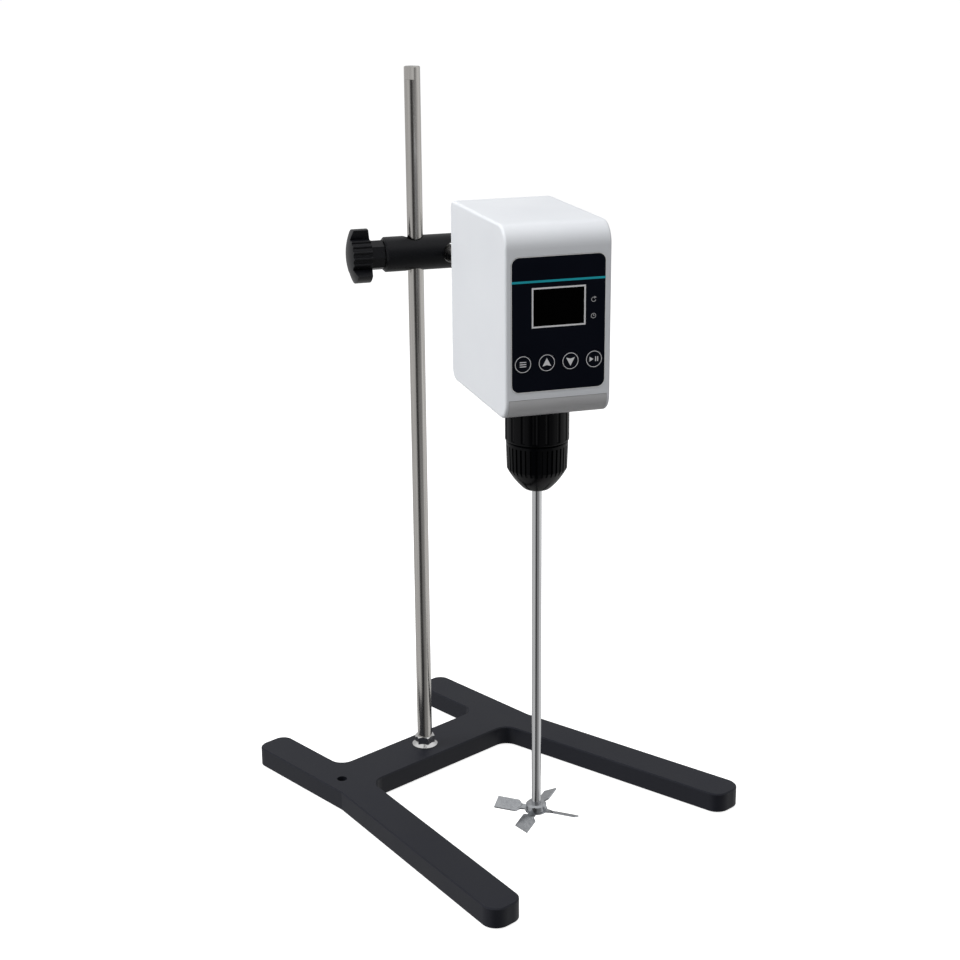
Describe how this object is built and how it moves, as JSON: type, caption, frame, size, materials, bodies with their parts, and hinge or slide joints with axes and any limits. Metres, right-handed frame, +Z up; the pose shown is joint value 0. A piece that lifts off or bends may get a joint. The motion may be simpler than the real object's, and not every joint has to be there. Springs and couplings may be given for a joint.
{
  "type": "overhead stirrer",
  "caption": "Overhead laboratory stirrer: a motor head with display and keypad, held by a rod clamp on an H-shaped stand, turns a bladed shaft in a keyless chuck.",
  "frame": {"origin": "on the bench, under the middle of the object's bounding box", "axes": "+Z up along the upright rod; -Y towards the open front of the stand's base; +X to the right seen from the front"},
  "size_m": [0.2842, 0.3699, 0.6],
  "materials": {
    "charcoal_coat": "satin powder coat, near black",
    "rubber": "matt black rubber",
    "bright_plate": "bright plated",
    "brushed_steel": "ground stainless steel",
    "black_plastic": "satin black moulding",
    "gloss_black": "gloss black moulding",
    "screw_steel": "plain machined steel",
    "brass": "machined brass",
    "white_housing": "white satin paint",
    "sheet_steel": "zinc-plated sheet",
    "aluminium": "machined aluminium",
    "panel_film": "printed membrane, near black",
    "display_glass": "dark glossy display window",
    "button_plastic": "near-black key with a pale printed ring",
    "board_green": "green circuit board",
    "magnet": "sintered magnet, dark grey",
    "polished_steel": "polished stainless steel"
  },
  "bodies": {
    "stand": {"base_plate": "charcoal_coat", "rubber_feet": "rubber", "flange_nut": "bright_plate"},
    "upright": {"stand_rod": "brushed_steel"},
    "clamp": {"clamp_body": "black_plastic"},
    "rod_pad": {"rod_knob_pad": "brass"},
    "rod_knob": {"rod_knob": "black_plastic", "rod_knob_screw": "screw_steel"},
    "arm_pad": {"arm_knob_pad": "brass"},
    "arm_knob": {"arm_knob": "black_plastic", "arm_knob_screw": "screw_steel"},
    "arm": {"support_rod": "brushed_steel"},
    "head": {"housing_shell": "white_housing", "bottom_cover": "white_housing", "housing_screws": "screw_steel", "motor_frame": "sheet_steel", "rod_socket": "aluminium", "socket_screws": "screw_steel", "socket_set_screw": "screw_steel", "front_panel": "panel_film", "display_window": "display_glass", "display_module": "black_plastic", "control_board": "board_green", "tact_switches": "black_plastic", "motor_can": "sheet_steel", "motor_screws": "screw_steel", "stator_core": "sheet_steel", "bearing_housing": "aluminium", "lower_bearing": "screw_steel", "upper_bearing": "screw_steel", "driver_board": "board_green", "board_standoffs": "brass", "power_inlet": "black_plastic", "power_switch_body": "black_plastic"},
    "menu_button": {"menu_button": "button_plastic"},
    "up_button": {"up_button": "button_plastic"},
    "down_button": {"down_button": "button_plastic"},
    "start_button": {"start_button": "button_plastic"},
    "power_switch": {"power_switch_rocker": "black_plastic"},
    "spindle": {"spindle": "brushed_steel", "rotor_magnet": "magnet", "chuck_body": "screw_steel", "chuck_rear_sleeve": "gloss_black"},
    "chuck_sleeve": {"chuck_front_sleeve": "gloss_black", "chuck_nut": "screw_steel"},
    "jaw_1": {"chuck_jaw_1": "screw_steel"},
    "jaw_2": {"chuck_jaw_2": "screw_steel"},
    "jaw_3": {"chuck_jaw_3": "screw_steel"},
    "stirrer": {"stirring_shaft": "brushed_steel", "impeller_collar": "polished_steel", "impeller_blades": "polished_steel", "collar_set_screw": "screw_steel"}
  },
  "joints": [
    {"name": "clamp_swivel", "type": "hinge", "parent": "stand", "child": "upright", "pos_m": [0, 0.0844, 0], "axis": [0, 0, 1], "continuous": true},
    {"name": "clamp_height", "type": "slide", "parent": "upright", "child": "clamp", "axis": [0, 0, 1], "range_m": [-0.03, 0.12]},
    {"name": "rod_pad_slide", "type": "slide", "parent": "clamp", "child": "rod_pad", "axis": [-0.9011, 0.4337, 0], "range_m": [0, 0.00249]},
    {"name": "rod_knob_turn", "type": "hinge", "parent": "rod_pad", "child": "rod_knob", "pos_m": [0, 0.0844, 0.4539], "axis": [-0.9011, 0.4337, 0], "range_deg": [0, 720]},
    {"name": "arm_pad_slide", "type": "slide", "parent": "clamp", "child": "arm_pad", "axis": [0.9011, -0.4337, 0], "range_m": [0, 0.00249]},
    {"name": "arm_knob_turn", "type": "hinge", "parent": "arm_pad", "child": "arm_knob", "pos_m": [0, 0.0844, 0.4539], "axis": [0.9011, -0.4337, 0], "range_deg": [0, 720]},
    {"name": "head_reach", "type": "slide", "parent": "clamp", "child": "arm", "axis": [-0.4337, -0.9011, 0], "range_m": [-0.1, 0.012]},
    {"name": "head_roll", "type": "hinge", "parent": "arm", "child": "head", "pos_m": [0.02334, 0.07317, 0.4539], "axis": [-0.4337, -0.9011, 0], "range_deg": [-90, 90]},
    {"name": "menu_button_press", "type": "slide", "parent": "head", "child": "menu_button", "axis": [0.4337, 0.9011, 0], "range_m": [0, 0.0005], "stiffness_N_per_m": 4000},
    {"name": "up_button_press", "type": "slide", "parent": "head", "child": "up_button", "axis": [0.4337, 0.9011, 0], "range_m": [0, 0.0005], "stiffness_N_per_m": 4000},
    {"name": "down_button_press", "type": "slide", "parent": "head", "child": "down_button", "axis": [0.4337, 0.9011, 0], "range_m": [0, 0.0005], "stiffness_N_per_m": 4000},
    {"name": "start_button_press", "type": "slide", "parent": "head", "child": "start_button", "axis": [0.4337, 0.9011, 0], "range_m": [0, 0.0005], "stiffness_N_per_m": 4000},
    {"name": "power_rocker", "type": "hinge", "parent": "head", "child": "power_switch", "pos_m": [-0.02538, -0.06264, 0.4159], "axis": [-0.9011, 0.4337, 0], "range_deg": [0, 16]},
    {"name": "spindle_spin", "type": "hinge", "parent": "head", "child": "spindle", "pos_m": [-0.07432, -0.12975, 0.4539], "axis": [0, 0, 1], "continuous": true},
    {"name": "chuck_sleeve_turn", "type": "hinge", "parent": "spindle", "child": "chuck_sleeve", "pos_m": [-0.07432, -0.12975, 0.4539], "axis": [0, 0, -1], "range_deg": [0, 1350]},
    {"name": "jaw_1_slide", "type": "slide", "parent": "spindle", "child": "jaw_1", "axis": [-0.111, 0.2338, 0.9659], "range_m": [0, 0.0076]},
    {"name": "jaw_2_slide", "type": "slide", "parent": "spindle", "child": "jaw_2", "axis": [-0.147, -0.213, 0.9659], "range_m": [0, 0.0076]},
    {"name": "jaw_3_slide", "type": "slide", "parent": "spindle", "child": "jaw_3", "axis": [0.258, -0.0208, 0.9659], "range_m": [0, 0.0076]},
    {"name": "shaft_slide", "type": "slide", "parent": "spindle", "child": "stirrer", "axis": [0, 0, 1], "range_m": [-0.005, 0.018]}
  ],
  "couplings": [
    {"joint": "rod_knob_turn", "follows": "rod_pad_slide", "rad_per_m": 5026.5},
    {"joint": "arm_knob_turn", "follows": "arm_pad_slide", "rad_per_m": 5026.5},
    {"joint": "jaw_1_slide", "follows": "chuck_sleeve_turn", "m_per_rad": 0.00031831},
    {"joint": "jaw_2_slide", "follows": "chuck_sleeve_turn", "m_per_rad": 0.00031831},
    {"joint": "jaw_3_slide", "follows": "chuck_sleeve_turn", "m_per_rad": 0.00031831}
  ]
}
